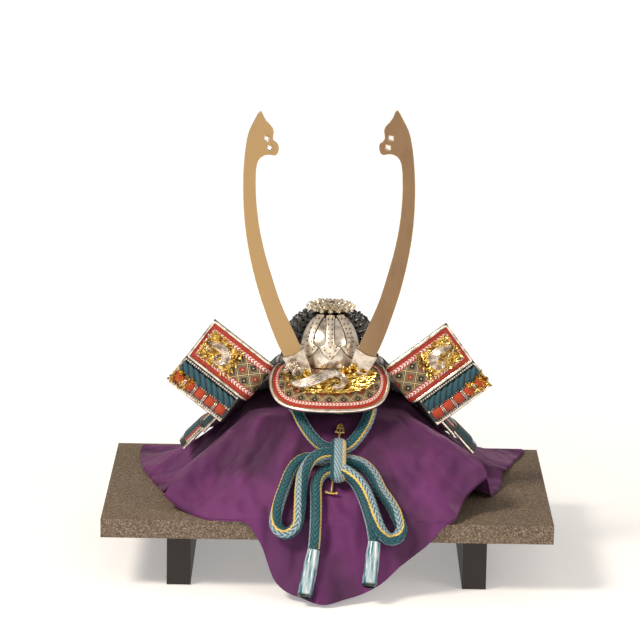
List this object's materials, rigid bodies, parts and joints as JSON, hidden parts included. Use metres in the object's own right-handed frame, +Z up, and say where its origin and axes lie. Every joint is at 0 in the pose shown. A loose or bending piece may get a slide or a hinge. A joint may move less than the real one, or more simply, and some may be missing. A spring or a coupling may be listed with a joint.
{
  "type": "kabuto samurai helmet on a draped display stand",
  "caption": "Miniature samurai helmet with tall silver horns, turned-back wings and a tied chin cord, on a cloth-draped block and low table.",
  "frame": {"origin": "middle of the footprint of table and cloth, on the surface the table stands on; the chin cord isn't counted", "axes": "+Z up; -Y is the front, where the visor, the wings and the bow face; +X is the viewer's right"},
  "size_m": [0.45, 0.353, 0.4721],
  "materials": {
    "speckled_coating": "rough granular coating, dark grey-brown with pale specks",
    "dark_wood": "dark brown-black stain, satin",
    "plain_wood": "plain, unfinished",
    "purple_cloth": "plain weave, soft sheen",
    "black_lacquer": "gloss",
    "silver": "polished silver plating",
    "champagne_silver": "satin, warm silver plating",
    "gold": "polished gold plating",
    "patterned_leather": "stencilled lattice with a red border",
    "red_leather": "red border round a stencilled lattice",
    "teal_silk": "square braid, teal with pale blue and yellow strands",
    "orange_silk": "padded braid",
    "clear_sleeve": "clear film over white and teal silk ends"
  },
  "bodies": {
    "root": {"table_top": "speckled_coating", "table_leg_left": "dark_wood", "table_leg_right": "dark_wood", "stand_block": "plain_wood", "stand_post": "plain_wood", "drape_cloth": "purple_cloth", "bowl": "black_lacquer", "bowl_band": "black_lacquer", "front_plate": "silver", "crown_blossom_lower": "silver", "crown_blossom_middle": "silver", "crown_blossom_upper": "silver", "visor": "patterned_leather", "visor_rim": "silver", "horn_base": "gold", "horn_left": "champagne_silver", "horn_right": "champagne_silver", "horn_socket_left": "silver", "horn_socket_right": "silver", "neck_lame_1": "black_lacquer", "neck_lame_2": "black_lacquer", "neck_lame_3": "black_lacquer", "neck_lame_4": "black_lacquer", "wing_rim_left": "silver", "wing_rim_right": "silver", "wing_facing_left": "red_leather", "wing_facing_right": "red_leather", "wing_scroll_left": "gold", "wing_scroll_right": "gold", "wing_braid_left": "teal_silk", "wing_braid_right": "teal_silk", "wing_puffs_left": "orange_silk", "wing_puffs_right": "orange_silk", "knot_pin": "gold", "cord_knot": "teal_silk", "cord_neck": "teal_silk", "cord_loop_left": "teal_silk", "cord_loop_right": "teal_silk", "cord_end_left": "teal_silk", "cord_end_right": "teal_silk", "cord_sleeve_left": "clear_sleeve", "cord_sleeve_right": "clear_sleeve"}
  },
  "joints": []
}
